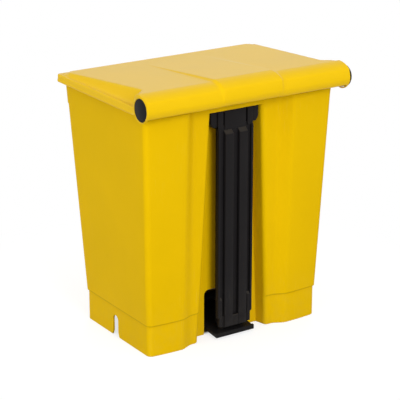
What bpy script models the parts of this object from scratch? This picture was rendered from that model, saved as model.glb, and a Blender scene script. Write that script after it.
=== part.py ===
"""Pedal bin: moulded body and lid, push column, pedal lever, hinge and linkage pins.

Metres, +Z up, the pedal at -Y, the hinge at +Y, standing on z = 0.
"""
import math

import bpy
import bmesh
from mathutils import Matrix, Vector

MM = 0.001

# Container: plan size at the top of the base band, heights and draft per unit of height.
BODY_WIDTH = 357.5 * MM
BODY_DEPTH = 220 * MM
BACK_Y = 152.6 * MM
BAND_HEIGHT = 57 * MM
BAND_INSET = 1.4 * MM
RIM_HEIGHT = 438.2 * MM
BACK_RIM_DROP = 8.2 * MM
SIDE_DRAFT = 0.0353
BACK_DRAFT = 0.0438
FRONT_DRAFT = 0.0882
CORNER_RADIUS = 10 * MM
WALL = 3 * MM
FLOOR_HEIGHT = 88 * MM

# Recess in the back wall for the push column, with the shallow facets beside it.
RECESS_HALF_LOW = 71 * MM
RECESS_HALF_TOP = 52 * MM
RECESS_BELOW_RIM = 21.2 * MM
RECESS_DEPTH = 35.6 * MM
RECESS_SIDE_DRAFT = 3 * MM
FACET_HALF = 110 * MM
FACET_DEPTH_LOW = 10 * MM
FACET_LAND = 2 * MM
BRIDGE_Y = 151 * MM

# Openings of the skirt.
LEVER_SLOT_HEIGHT = 80 * MM
FRONT_SLOT_HEIGHT = 46 * MM
NOTCH_HEIGHT = 40 * MM
NOTCH_WIDTH = 17 * MM
NOTCH_FLARE = 4 * MM

# Grip band along the top of the front wall.
GRIP_HEIGHT = 36 * MM
GRIP_PROUD = 2.8 * MM

# Lid and hinge barrel.
LID_SIDE_OVERHANG = 14.3 * MM
LID_FRONT_OVERHANG = 6 * MM
LID_FLANGE = 13.5 * MM
LID_SKIN = 3 * MM
FRONT_SKIRT = 6 * MM
LID_CORNER = 5 * MM
BARREL_RADIUS = 22 * MM
HINGE_SETBACK = 8.7 * MM
PLATEAU_INSET = 12 * MM
PLATEAU_COVE = 6.5 * MM
PLATEAU_FLARE = 8 * MM
HUMP_HALF = 58 * MM
HUMP_RISE = 3 * MM
HUMP_OVER = 2.5 * MM
CROWN_RISE = 4 * MM
CROWN_SETBACK = 9 * MM
SKIN_END = math.radians(-55)

# Hinge pins.
PIN_SHAFT = 5 * MM
PIN_PROUD = 3 * MM
RING_WALL = 2.7 * MM
LUG_THICK = 9 * MM
LUG_BOSS = 8.5 * MM

# Linkage: the lid's crank pin, the column's stroke and the lever's swing follow from these.
LID_SWING = math.radians(75)
CRANK_RADIUS = 18 * MM
CRANK_PIN = 3 * MM
SLOT_PLAY = 0.7 * MM
CHEEK_X = 15 * MM
CHEEK_THICK = 4 * MM
CRANK_HALF = 30 * MM
CRANK_PLATE = 3 * MM
CRANK_PAD = 8 * MM
PAD_REACH = 43 * MM
PAD_BACK = 2 * MM
SCREW_EDGE = 5 * MM
SCREW_INSET = 8 * MM

# Push column.
COLUMN_HALF = 35.5 * MM
COLUMN_FRONT = 122 * MM
COLUMN_FACE = 146 * MM
COLUMN_WALL = 4 * MM
HEAD_HALF = 46.3 * MM
HEAD_HEIGHT = 27 * MM
HEAD_CLEAR = 2 * MM
RIB_PROUD = 4 * MM
RIB_IN = 8 * MM
RIB_OUT = 26 * MM
NECK_HALF = 12 * MM
FOOT_RADIUS = 10 * MM

# Pedal lever, its axle and tread.
PIVOT_Y = 35.5 * MM
PIVOT_Z = 31 * MM
LEVER_SLOPE = math.radians(5.7)
LEVER_THICK = 6 * MM
LEVER_DROP = 8.7 * MM
LEVER_HALF = 40 * MM
LEVER_BACK = 151 * MM
LIP_THICK = 4 * MM
PEDAL_HALF = 55 * MM
PEDAL_LENGTH = 88 * MM
PEDAL_TOP = 64 * MM
PEDAL_TILT = math.radians(6.4)
AXLE_RADIUS = 4 * MM
BOSS_RADIUS = 9 * MM
WEB_THICK = 5 * MM
TREAD_THICK = 3 * MM
TREAD_RIB = 1.5 * MM

# Clearances.
GAP = 0.3 * MM
RUN = 4 * MM
CLIP_THICK = 1.2 * MM

# Derived positions.
RECESS_TOP = RIM_HEIGHT - RECESS_BELOW_RIM
HEAD_TOP = RECESS_TOP - HEAD_CLEAR
HEAD_LOW = HEAD_TOP - HEAD_HEIGHT
LID_HALF = BODY_WIDTH / 2 + SIDE_DRAFT * (RIM_HEIGHT - BAND_HEIGHT) + LID_SIDE_OVERHANG
HINGE_Z = RIM_HEIGHT + GAP + LID_FLANGE
HINGE_Y = BACK_Y + BACK_DRAFT * (RIM_HEIGHT - BAND_HEIGHT) + HINGE_SETBACK
LID_FRONT = BACK_Y - BODY_DEPTH - FRONT_DRAFT * (RIM_HEIGHT - BAND_HEIGHT) - LID_FRONT_OVERHANG
RECESS_Y = BACK_Y - RECESS_DEPTH
CRANK_Y = HINGE_Y - CRANK_RADIUS * math.cos(LID_SWING / 2)
CRANK_Z = HINGE_Z - CRANK_RADIUS * math.sin(LID_SWING / 2)
COLUMN_MID = (COLUMN_FRONT + COLUMN_FACE) / 2
PEDAL_TIP = -(HINGE_Y + BARREL_RADIUS + HUMP_OVER)
WEB_X = LEVER_HALF + RUN
AXLE_HALF = WEB_X + WEB_THICK + RUN + 2 * CLIP_THICK


for old in list(bpy.data.objects):
    bpy.data.objects.remove(old, do_unlink=True)

parts = bpy.data.collections.new("pedal_bin")
bpy.context.scene.collection.children.link(parts)
cutters = bpy.data.collections.new("cutters")
bpy.context.scene.collection.children.link(cutters)


def plastic(name, colour, roughness, metallic=0.0):
    material = bpy.data.materials.new(name)
    material.use_nodes = True
    shader = material.node_tree.nodes["Principled BSDF"]
    shader.inputs["Base Color"].default_value = (*colour, 1.0)
    shader.inputs["Roughness"].default_value = roughness
    shader.inputs["Metallic"].default_value = metallic
    return material


def place(name, mesh, material=None):
    """Puts a mesh in the scene: a part with its material, or a hidden cutter without one."""
    obj = bpy.data.objects.new(name, mesh)
    if material is None:
        cutters.objects.link(obj)
        obj.hide_render = True
        obj.display_type = "WIRE"
    else:
        parts.objects.link(obj)
        mesh.materials.append(material)
    return obj


def boxed(x0, x1, y0, y1, z0, z1):
    mesh = bpy.data.meshes.new("box")
    bm = bmesh.new()
    size = Vector((x1 - x0, y1 - y0, z1 - z0))
    middle = Vector((x0 + x1, y0 + y1, z0 + z1)) / 2
    pose = Matrix.Translation(middle) @ Matrix.Diagonal((*size, 1.0))
    bmesh.ops.create_cube(bm, size=1.0, matrix=pose)
    bm.to_mesh(mesh)
    bm.free()
    return mesh


def rod(x0, x1, y, z, radius, sides=40, end_radius=None):
    """A round bar along X, tapered where end_radius differs."""
    mesh = bpy.data.meshes.new("rod")
    bm = bmesh.new()
    turn = Matrix.Translation(((x0 + x1) / 2, y, z)) @ Matrix.Rotation(math.pi / 2, 4, "Y")
    tip = radius if end_radius is None else end_radius
    bmesh.ops.create_cone(bm, cap_ends=True, segments=sides, radius1=radius, radius2=tip,
                          depth=x1 - x0, matrix=turn)
    bm.to_mesh(mesh)
    bm.free()
    return mesh


def post(x, y, z0, z1, radius, sides=24):
    mesh = bpy.data.meshes.new("post")
    bm = bmesh.new()
    bmesh.ops.create_cone(bm, cap_ends=True, segments=sides, radius1=radius, radius2=radius,
                          depth=z1 - z0, matrix=Matrix.Translation((x, y, (z0 + z1) / 2)))
    bm.to_mesh(mesh)
    bm.free()
    return mesh


def sheet(outline, x0, x1):
    """A side profile in (y, z), filled as a curve and extruded along X."""
    curve = bpy.data.curves.new("profile", "CURVE")
    curve.dimensions = "2D"
    curve.fill_mode = "BOTH"
    curve.extrude = (x1 - x0) / 2
    spline = curve.splines.new("POLY")
    spline.points.add(len(outline) - 1)
    for point, (y, z) in zip(spline.points, outline):
        point.co = (y, z, 0.0, 1.0)
    spline.use_cyclic_u = True
    holder = bpy.data.objects.new("profile", curve)
    mesh = bpy.data.meshes.new_from_object(holder)
    bpy.data.objects.remove(holder)
    turn = Matrix(((0, 0, 1, (x0 + x1) / 2), (1, 0, 0, 0), (0, 1, 0, 0), (0, 0, 0, 1)))
    mesh.transform(turn)
    bm = bmesh.new()
    bm.from_mesh(mesh)
    bmesh.ops.remove_doubles(bm, verts=bm.verts, dist=1e-6)
    bmesh.ops.recalc_face_normals(bm, faces=bm.faces)
    bm.to_mesh(mesh)
    bm.free()
    return mesh


def loft(rings):
    """Skins unlike sections of equal point count, each a list of (x, y, z), and caps both ends."""
    mesh = bpy.data.meshes.new("loft")
    bm = bmesh.new()
    rows = [[bm.verts.new(p) for p in ring] for ring in rings]
    count = len(rows[0])
    for low, high in zip(rows, rows[1:]):
        for i in range(count):
            j = (i + 1) % count
            bm.faces.new((low[i], low[j], high[j], high[i]))
    bm.faces.new(list(reversed(rows[0])))
    bm.faces.new(rows[-1])
    bmesh.ops.recalc_face_normals(bm, faces=bm.faces)
    bmesh.ops.connect_verts_nonplanar(bm, angle_limit=1e-5, faces=bm.faces)
    bm.to_mesh(mesh)
    bm.free()
    return mesh


def combine(target, mesh, operation, name):
    tool = place(name, mesh)
    step = target.modifiers.new(name, "BOOLEAN")
    step.operation = operation
    step.solver = "EXACT"
    step.object = tool
    return tool


def cut(target, mesh, name):
    return combine(target, mesh, "DIFFERENCE", "cut_" + name)


def join(target, mesh, name):
    return combine(target, mesh, "UNION", "add_" + name)


def half_at(z):
    return BODY_WIDTH / 2 + SIDE_DRAFT * (z - BAND_HEIGHT)


def back_at(z):
    return BACK_Y + BACK_DRAFT * (z - BAND_HEIGHT)


def front_at(z):
    return BACK_Y - BODY_DEPTH - FRONT_DRAFT * (z - BAND_HEIGHT)


def recess_half(z):
    return RECESS_HALF_LOW + (RECESS_HALF_TOP - RECESS_HALF_LOW) * z / RECESS_TOP


def mouth_y(z):
    low = BACK_Y - FACET_DEPTH_LOW
    return low + (BRIDGE_Y - low) * z / RECESS_TOP


def corner(x, y, radius, start, steps=6):
    points = []
    for i in range(steps + 1):
        a = start + math.pi / 2 * i / steps
        points.append((x + radius * math.cos(a), y + radius * math.sin(a)))
    return points


def wall_ring(z, inset, drafted=True):
    """Outline of the container's outside at height z, with the facets of the back wall."""
    at = z if drafted else BAND_HEIGHT
    half = half_at(at) - inset
    back = back_at(at) - inset
    front = front_at(at) + inset
    r = CORNER_RADIUS
    land = recess_half(z) + FACET_LAND
    flat = corner(half - r, front + r, r, -math.pi / 2)
    flat += corner(half - r, back - r, r, 0)
    flat += [(FACET_HALF, back), (land, mouth_y(z)), (-land, mouth_y(z)), (-FACET_HALF, back)]
    flat += corner(-half + r, back - r, r, math.pi / 2)
    flat += corner(-half + r, front + r, r, math.pi)
    return [(x, y, z) for x, y in flat]


def inner_ring(z, inset, drafted=True):
    """The same outline a wall further in, running round the recess."""
    at = z if drafted else BAND_HEIGHT
    gap = inset + WALL
    half = half_at(at) - gap
    back = back_at(at) - gap
    front = front_at(at) + gap
    r = CORNER_RADIUS - WALL
    side = recess_half(z) + WALL
    flat = corner(half - r, front + r, r, -math.pi / 2)
    flat += corner(half - r, back - r, r, 0)
    flat += [(FACET_HALF, back), (side + FACET_LAND, mouth_y(z) - WALL - inset)]
    flat += [(side, RECESS_Y - WALL), (-side, RECESS_Y - WALL)]
    flat += [(-side - FACET_LAND, mouth_y(z) - WALL - inset), (-FACET_HALF, back)]
    flat += corner(-half + r, back - r, r, math.pi / 2)
    flat += corner(-half + r, front + r, r, math.pi)
    return [(x, y, z) for x, y in flat]


yellow = plastic("yellow_polyethylene", (0.78, 0.50, 0.01), 0.38)
yellow_lid = plastic("yellow_polyethylene_lid", (0.80, 0.52, 0.01), 0.32)
black = plastic("black_polypropylene", (0.014, 0.013, 0.014), 0.42)
black_lever = plastic("black_nylon", (0.016, 0.015, 0.016), 0.5)
rubber = plastic("black_rubber", (0.02, 0.02, 0.02), 0.8)
steel = plastic("zinc_plated_steel", (0.62, 0.62, 0.60), 0.3, 1.0)
spring = plastic("spring_steel", (0.28, 0.28, 0.29), 0.35, 1.0)


# Container: drafted shell on an inset base band, floor raised over the lever.
step_z = BAND_HEIGHT + 1 * MM
shell = [wall_ring(0.0, BAND_INSET, False), wall_ring(BAND_HEIGHT, BAND_INSET, False),
         wall_ring(step_z, 0.0), wall_ring(RECESS_TOP, 0.0), wall_ring(RIM_HEIGHT, 0.0)]
body = place("body_shell", loft(shell), yellow)

over = RIM_HEIGHT + 20 * MM
throat = RECESS_HALF_TOP - RECESS_SIDE_DRAFT - 0.7 * MM
cut(body, boxed(-throat, throat, RECESS_Y + 0.6 * MM, BRIDGE_Y - WALL,
                RECESS_TOP - 8 * MM, over), "throat")
cut(body, loft([inner_ring(FLOOR_HEIGHT, 0.0), inner_ring(RECESS_TOP, 0.0),
                inner_ring(over, 0.0)]), "interior")
under = FLOOR_HEIGHT - WALL
cut(body, loft([inner_ring(-20 * MM, BAND_INSET, False), inner_ring(BAND_HEIGHT, BAND_INSET, False),
                inner_ring(under, BAND_INSET)]), "base")


def recess_ring(z):
    mouth = recess_half(z)
    deep = mouth - RECESS_SIDE_DRAFT
    beyond = BACK_Y + 60 * MM
    return [(deep, RECESS_Y, z), (mouth, mouth_y(z), z), (mouth, beyond, z),
            (-mouth, beyond, z), (-mouth, mouth_y(z), z), (-deep, RECESS_Y, z)]


cut(body, loft([recess_ring(-20 * MM), recess_ring(RECESS_TOP)]), "recess")
cut(body, boxed(-LID_HALF, LID_HALF, BRIDGE_Y - WALL - 1 * MM, HINGE_Y + 40 * MM,
                RIM_HEIGHT - BACK_RIM_DROP, over), "hinge_room")

# Hinge arms reach from the side walls back to the barrel's axis.
arm = [(-7, 3.5), (-20, -6), (-36, -16), (-46, -16), (-46, -30), (-34, -22), (-17, -12.5), (3, -8)]
for side, label in ((1, "left"), (-1, "right")):
    inner = half_at(RIM_HEIGHT) - LUG_THICK
    outer = half_at(RIM_HEIGHT) - WALL / 2
    low, high = sorted((side * inner, side * outer))
    profile = [(HINGE_Y + y * MM, HINGE_Z + z * MM) for y, z in arm]
    join(body, sheet(profile, low, high), "arm_" + label)
    join(body, rod(low - 0.6 * MM, high + 0.6 * MM, HINGE_Y, HINGE_Z, LUG_BOSS), "boss_" + label)
    cut(body, rod(low - 5 * MM, high + 5 * MM, HINGE_Y, HINGE_Z, PIN_SHAFT + GAP), "bore_" + label)

# Webs under the floor carry the lever's axle.
for side, label in ((1, "left"), (-1, "right")):
    low, high = sorted((side * WEB_X, side * (WEB_X + WEB_THICK)))
    reach = 20 * MM
    top = FLOOR_HEIGHT - WALL / 2
    foot = PIVOT_Z - 12 * MM
    profile = [(PIVOT_Y - reach, top), (PIVOT_Y - reach / 2, foot),
               (PIVOT_Y + reach / 2, foot), (PIVOT_Y + reach, top)]
    join(body, sheet(profile, low, high), "web_" + label)
    cut(body, rod(low - 2 * MM, high + 2 * MM, PIVOT_Y, PIVOT_Z, AXLE_RADIUS + GAP), "axle_bore_" + label)

# Grip band on the front wall, slots for the lever, access notches in the sides.
grip = []
for z in (RIM_HEIGHT - GRIP_HEIGHT, RIM_HEIGHT - 0.5 * MM):
    reach = half_at(z) - 1.6 * MM
    near = front_at(z) - GRIP_PROUD
    far = front_at(z) + WALL / 2
    grip.append([(-reach, near, z), (reach, near, z), (reach, far, z), (-reach, far, z)])
join(body, loft(grip), "grip")
slot = LEVER_HALF + RUN
cut(body, boxed(-slot, slot, RECESS_Y - WALL - 5 * MM, RECESS_Y + 5 * MM,
                -20 * MM, LEVER_SLOT_HEIGHT), "lever_slot")
wall_y = front_at(BAND_HEIGHT) + BAND_INSET
cut(body, boxed(-slot, slot, wall_y - 8 * MM, wall_y + WALL + 8 * MM,
                -20 * MM, FRONT_SLOT_HEIGHT), "pedal_slot")
notch = [(-NOTCH_WIDTH / 2 - NOTCH_FLARE, -20 * MM), (-NOTCH_WIDTH / 2 - NOTCH_FLARE, 0.0)]
notch += [(-NOTCH_WIDTH / 2, 9 * MM)]
crown = NOTCH_HEIGHT - NOTCH_WIDTH / 2
for i in range(11):
    a = math.pi - math.pi * i / 10
    notch.append((NOTCH_WIDTH / 2 * math.cos(a), crown + NOTCH_WIDTH / 2 * math.sin(a)))
notch += [(NOTCH_WIDTH / 2, 9 * MM), (NOTCH_WIDTH / 2 + NOTCH_FLARE, 0.0)]
notch += [(NOTCH_WIDTH / 2 + NOTCH_FLARE, -20 * MM)]
notch = [(PIVOT_Y + y, z) for y, z in notch]
for side, label in ((1, "left"), (-1, "right")):
    low, high = sorted((side * (BODY_WIDTH / 2 - 12 * MM), side * (BODY_WIDTH / 2 + 8 * MM)))
    cut(body, sheet(notch, low, high), "notch_" + label)


# Lid: flanged wedge with a hinge barrel rolled along the back edge.
def flange_ring(z, inset, front):
    half = LID_HALF - inset
    r = max(LID_CORNER - inset, 1.5 * MM)
    flat = corner(half - r, LID_FRONT + front + r, r, -math.pi / 2, 4)
    flat += [(half, HINGE_Y), (-half, HINGE_Y)]
    flat += corner(-half + r, LID_FRONT + front + r, r, math.pi, 4)
    return [(x, y, z) for x, y in flat]


def wedge(skin):
    """Raised top of the lid, lofted from the front to the hinge; skin thins it to its inside."""
    stations = ((LID_FRONT + 9 * MM, 0.0), (HINGE_Y - 85 * MM, 0.0), (HINGE_Y - 52 * MM, 0.45),
                (HINGE_Y - 24 * MM, 1.0), (HINGE_Y - CROWN_SETBACK + 0.5 * MM, 1.0))
    start = stations[0][0]
    last = stations[-1][0]
    rings = []
    for y, flare in stations:
        foot = LID_HALF - PLATEAU_INSET + flare * PLATEAU_FLARE - skin
        top = LID_HALF - PLATEAU_INSET - PLATEAU_COVE + flare * (PLATEAU_FLARE + 3 * MM) - skin
        along = (y - start) / (last - start)
        high = HINGE_Z + 0.8 * MM + along * (BARREL_RADIUS + CROWN_RISE - 1.2 * MM) - skin
        low = HINGE_Z - 1.5 * MM - 2 * skin
        at = y + skin if y == start else y
        rings.append([(-foot, at, low), (foot, at, low), (top, at, high), (-top, at, high)])
    return loft(rings)


def roll(over, steps=18):
    """Side profile of the hinge roll: a crown set forward of the pin over a round back; over raises it."""
    centre = HINGE_Y - CROWN_SETBACK
    reach = BARREL_RADIUS + CROWN_SETBACK + over
    crown = BARREL_RADIUS + CROWN_RISE + over
    points = []
    for i in range(steps + 1):
        a = math.pi / 2 * (1 - i / steps)
        points.append((centre + reach * math.cos(a), HINGE_Z + crown * math.sin(a)))
    return points


flange_low = HINGE_Z - LID_FLANGE
flange_top = HINGE_Z - 0.4 * MM
flange = loft([flange_ring(flange_low, 0.0, 0.0), flange_ring(flange_top, 0.0, 0.0)])
lid = place("lid_shell", flange, yellow_lid)
join(lid, wedge(0.0), "plateau")
hump_front = LID_FRONT + 62 * MM
hump_back = HINGE_Y - CROWN_SETBACK + 1 * MM
hump_top = HINGE_Z + BARREL_RADIUS + CROWN_RISE + HUMP_OVER * 0.8
wide = HUMP_HALF + 4 * MM
join(lid, loft([
    [(-wide, hump_front, HINGE_Z), (wide, hump_front, HINGE_Z),
     (wide, hump_back, HINGE_Z), (-wide, hump_back, HINGE_Z)],
    [(-HUMP_HALF, hump_front, HINGE_Z + HUMP_RISE), (HUMP_HALF, hump_front, HINGE_Z + HUMP_RISE),
     (HUMP_HALF, hump_back, hump_top), (-HUMP_HALF, hump_back, hump_top)],
]), "hump")
inner_y = HINGE_Y - BARREL_RADIUS / 2
hump_roll = roll(HUMP_OVER) + [(HINGE_Y + BARREL_RADIUS - 4 * MM, HINGE_Z - 6 * MM)]
hump_roll.append((inner_y, HINGE_Z - 6 * MM))
join(lid, sheet(hump_roll, -HUMP_HALF - 1 * MM, HUMP_HALF + 1 * MM), "hump_roll")
barrel = roll(0.0)
for i in range(1, 25):
    a = -math.pi * i / 24
    barrel.append((HINGE_Y + BARREL_RADIUS * math.cos(a), HINGE_Z + BARREL_RADIUS * math.sin(a)))
barrel.append((HINGE_Y - BARREL_RADIUS * 0.7, HINGE_Z + BARREL_RADIUS * 0.8))
join(lid, sheet(barrel, -LID_HALF, LID_HALF), "barrel")
cut(lid, loft([flange_ring(flange_low - 20 * MM, LID_SKIN, FRONT_SKIRT),
               flange_ring(flange_top - LID_SKIN, LID_SKIN, FRONT_SKIRT)]), "flange")
cut(lid, wedge(LID_SKIN), "plateau")
inside = LID_HALF - LID_SKIN
cut(lid, rod(-inside, inside, HINGE_Y, HINGE_Z, BARREL_RADIUS - LID_SKIN, 48), "barrel")
far = 48 * MM
gape = [(HINGE_Y, HINGE_Z - LID_SKIN / 2),
        (HINGE_Y + far * math.cos(SKIN_END), HINGE_Z + far * math.sin(SKIN_END)),
        (HINGE_Y - far, HINGE_Z - far), (HINGE_Y - far, HINGE_Z - LID_SKIN - GAP)]
cut(lid, sheet(gape, -inside, inside), "gape")
for side, label in ((1, "left"), (-1, "right")):
    low, high = sorted((side * (inside - 2 * MM), side * (LID_HALF + 2 * MM)))
    cut(lid, rod(low, high, HINGE_Y, HINGE_Z, BARREL_RADIUS - RING_WALL, 48), "ring_" + label)

# Boss under the lid for the crank bracket.
pad_z = HINGE_Z + CRANK_PAD
pad_front = HINGE_Y - PAD_REACH
pad_back = HINGE_Y - PAD_BACK
join(lid, boxed(-CRANK_HALF - 3 * MM, CRANK_HALF + 3 * MM, pad_front, pad_back, pad_z,
                HINGE_Z + BARREL_RADIUS + CROWN_RISE - LID_SKIN - 1.2 * MM), "pad")

# Hinge pins: black plugs pressed into the barrel's end rings, their shafts in the arms.
for side, label in ((1, "left"), (-1, "right")):
    head = BARREL_RADIUS - RING_WALL - GAP
    x0 = half_at(RIM_HEIGHT) - LUG_THICK - 3 * MM
    x1 = LID_HALF - LID_SKIN - 1.5 * MM
    low, high = sorted((side * x0, side * (x1 + 1 * MM)))
    pin = place("hinge_pin_" + label, rod(low, high, HINGE_Y, HINGE_Z, PIN_SHAFT, 28), black)
    disc = x1 + LID_SKIN + 1.5 * MM + PIN_PROUD
    shoulder = disc - 2 * MM
    low, high = sorted((side * x1, side * shoulder))
    join(pin, rod(low, high, HINGE_Y, HINGE_Z, head, 48), "head_" + label)
    low, high = sorted((side * (shoulder - 0.2 * MM), side * disc))
    ends = (head, head - 2 * MM) if side > 0 else (head - 2 * MM, head)
    join(pin, rod(low, high, HINGE_Y, HINGE_Z, ends[0], 48, ends[1]), "crown_" + label)

# Crank bracket under the lid, with its pin, clips and screws.
plate_top = pad_z - GAP
plate_low = plate_top - CRANK_PLATE
plate = boxed(-CRANK_HALF, CRANK_HALF, pad_front + 1 * MM, pad_back - 1 * MM, plate_low, plate_top)
crank = place("lid_crank", plate, steel)
cheek = [(pad_front + 6 * MM, plate_top - CRANK_PLATE / 2), (CRANK_Y - 7 * MM, CRANK_Z - 2 * MM),
         (CRANK_Y - 4 * MM, CRANK_Z - 6.5 * MM), (CRANK_Y + 4 * MM, CRANK_Z - 6.5 * MM),
         (CRANK_Y + 7 * MM, CRANK_Z - 2 * MM), (pad_back - 2 * MM, plate_top - CRANK_PLATE / 2)]
for side, label in ((1, "left"), (-1, "right")):
    low, high = sorted((side * CHEEK_X, side * (CHEEK_X + CHEEK_THICK)))
    join(crank, sheet(cheek, low, high), "cheek_" + label)
    bore = rod(low - 2 * MM, high + 2 * MM, CRANK_Y, CRANK_Z, CRANK_PIN + GAP, 28)
    cut(crank, bore, "cheek_bore_" + label)
pin_half = CHEEK_X + CHEEK_THICK + 4 * CLIP_THICK
place("crank_pin", rod(-pin_half, pin_half, CRANK_Y, CRANK_Z, CRANK_PIN, 28), steel)
count = 0
screw_x = CRANK_HALF - SCREW_EDGE
for x in (-screw_x, screw_x):
    for y in (pad_front + SCREW_INSET, pad_back - SCREW_INSET):
        count += 1
        name = f"crank_screw_{count}"
        pilot = post(x, y, pad_z - 5 * MM, pad_z + 7 * MM, 2 * MM + GAP)
        cut(lid, pilot, "screw_pilot_" + str(count))
        hole = post(x, y, plate_low - 2 * MM, plate_top + 2 * MM, 2 * MM + GAP)
        cut(crank, hole, "screw_hole_" + str(count))
        screw = place(name, post(x, y, plate_low - GAP - 2.2 * MM, plate_low - GAP, 3.6 * MM), steel)
        join(screw, post(x, y, plate_low - GAP - 1 * MM, pad_z + 6 * MM, 2 * MM), "shank_" + str(count))


def clip(name, x0, y, z, shaft, towards):
    """Open spring ring round a shaft along X."""
    ring = place(name, rod(x0, x0 + CLIP_THICK, y, z, shaft + 3 * MM, 32), spring)
    cut(ring, rod(x0 - 1 * MM, x0 + CLIP_THICK + 1 * MM, y, z, shaft + GAP, 28), name + "_bore")
    mouth = shaft * 0.7
    y0, y1 = sorted((y, y + towards * 3 * shaft))
    cut(ring, boxed(x0 - 1 * MM, x0 + CLIP_THICK + 1 * MM, y0, y1, z - mouth, z + mouth), name + "_mouth")


clip_x = CHEEK_X + CHEEK_THICK + GAP
clip("crank_clip_left", clip_x, CRANK_Y, CRANK_Z, CRANK_PIN, -1)
clip("crank_clip_right", -clip_x - CLIP_THICK, CRANK_Y, CRANK_Z, CRANK_PIN, -1)

# Push column: channel moulding with two ribs, a T-shaped head and a slotted hook for the crank pin.
plate_at = PIVOT_Z - LEVER_DROP
slope = math.tan(LEVER_SLOPE)


def lever_top(y):
    return plate_at - (y - PIVOT_Y) * slope


foot_z = lever_top(COLUMN_MID) + (GAP + FOOT_RADIUS) / math.cos(LEVER_SLOPE)
stem = boxed(-COLUMN_HALF, COLUMN_HALF, COLUMN_FRONT, COLUMN_FACE, foot_z, HEAD_LOW + 1 * MM)
column = place("lift_column", stem, black)
join(column, rod(-COLUMN_HALF + 3 * MM, COLUMN_HALF - 3 * MM, COLUMN_MID, foot_z, FOOT_RADIUS, 40), "foot")
inner = COLUMN_HALF - COLUMN_WALL
cut(column, boxed(-inner, inner, COLUMN_FRONT - 5 * MM, COLUMN_FACE - COLUMN_WALL,
                  foot_z + FOOT_RADIUS + 6 * MM, HEAD_LOW - 8 * MM), "channel")
for side, label in ((1, "left"), (-1, "right")):
    low, high = sorted((side * RIB_IN, side * RIB_OUT))
    top = HEAD_LOW - 10 * MM
    rib = [(COLUMN_FACE - 1 * MM, foot_z + 34 * MM), (COLUMN_FACE + RIB_PROUD, foot_z + 38 * MM),
           (COLUMN_FACE + RIB_PROUD, top - 7 * MM), (COLUMN_FACE - 1 * MM, top)]
    join(column, sheet(rib, low, high), "rib_" + label)
chamfer = 6 * MM
head_low = [(-HEAD_HALF + chamfer, HEAD_LOW), (HEAD_HALF - chamfer, HEAD_LOW)]
head_mid = [(-HEAD_HALF, HEAD_LOW + chamfer), (HEAD_HALF, HEAD_LOW + chamfer)]
head_top = [(-HEAD_HALF, HEAD_TOP), (HEAD_HALF, HEAD_TOP)]
near = COLUMN_FRONT + 2 * MM
far = COLUMN_FACE - 0.5 * MM
head = []
for a, b in (head_low, head_mid, head_top):
    head.append([(a[0], near, a[1]), (b[0], near, b[1]), (b[0], far, b[1]), (a[0], far, a[1])])
join(column, loft(head), "head")
wall = 2.8 * MM
opening = CRANK_PIN + SLOT_PLAY
hook_back = CRANK_Y + opening + wall
hook_low = CRANK_Z - opening - wall
hook_top = CRANK_Z + opening + wall
neck_front = COLUMN_FRONT + 4 * MM
neck_back = COLUMN_FACE - 1 * MM
neck_low = HEAD_TOP - 2 * MM
hook = [(neck_front, neck_low), (neck_back, neck_low), (neck_back, hook_low),
        (hook_back, hook_low), (hook_back, hook_top), (neck_front + 6 * MM, hook_top),
        (neck_front, hook_top - 6 * MM)]
join(column, sheet(hook, -NECK_HALF, NECK_HALF), "hook")
slot_front = HINGE_Y - CRANK_RADIUS - opening
cut(column, boxed(-NECK_HALF - 2 * MM, NECK_HALF + 2 * MM, slot_front, CRANK_Y + opening,
                  CRANK_Z - opening, CRANK_Z + opening), "slot")

# Pedal lever: sloping plate on a cross tube, bent up to the pedal.
bend = wall_y - 6 * MM
pedal_back = PEDAL_TIP + PEDAL_LENGTH
rise = math.tan(PEDAL_TILT)


def pedal_top(y):
    return PEDAL_TOP - (y - PEDAL_TIP) * rise


t = LEVER_THICK
arm = [(LEVER_BACK, lever_top(LEVER_BACK) - t), (LEVER_BACK, lever_top(LEVER_BACK) + 2 * MM),
       (LEVER_BACK - LIP_THICK, lever_top(LEVER_BACK - LIP_THICK) + 2 * MM),
       (LEVER_BACK - LIP_THICK, lever_top(LEVER_BACK - LIP_THICK)),
       (bend, lever_top(bend)), (pedal_back, pedal_top(pedal_back)),
       (pedal_back - 6 * MM, pedal_top(pedal_back - 6 * MM)),
       (pedal_back - 6 * MM, pedal_top(pedal_back - 6 * MM) - t),
       (pedal_back, pedal_top(pedal_back) - t), (bend, lever_top(bend) - t)]
lever = place("pedal_lever", sheet(arm, -LEVER_HALF, LEVER_HALF), black_lever)
flat = [(pedal_back, pedal_top(pedal_back)), (PEDAL_TIP, pedal_top(PEDAL_TIP)),
        (PEDAL_TIP, pedal_top(PEDAL_TIP) - t), (pedal_back, pedal_top(pedal_back) - t)]
join(lever, sheet(flat, -PEDAL_HALF, PEDAL_HALF), "pedal")
join(lever, rod(-LEVER_HALF, LEVER_HALF, PIVOT_Y, PIVOT_Z, BOSS_RADIUS, 40), "tube")
bore = rod(-LEVER_HALF - 5 * MM, LEVER_HALF + 5 * MM, PIVOT_Y, PIVOT_Z, AXLE_RADIUS + GAP, 32)
cut(lever, bore, "tube_bore")
place("lever_axle", rod(-AXLE_HALF, AXLE_HALF, PIVOT_Y, PIVOT_Z, AXLE_RADIUS, 32), steel)
clip_x = WEB_X + WEB_THICK + GAP
clip("axle_clip_left", clip_x, PIVOT_Y, PIVOT_Z, AXLE_RADIUS, -1)
clip("axle_clip_right", -clip_x - CLIP_THICK, PIVOT_Y, PIVOT_Z, AXLE_RADIUS, -1)

# Tread: ribbed pad on the pedal, held by two screws, built level and tilted into place.
tread_mid = (PEDAL_TIP + pedal_back) / 2
pose = Matrix.Translation((0, tread_mid, pedal_top(tread_mid))) @ Matrix.Rotation(-PEDAL_TILT, 4, "X")


def tilted(mesh):
    mesh.transform(pose)
    return mesh


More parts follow.
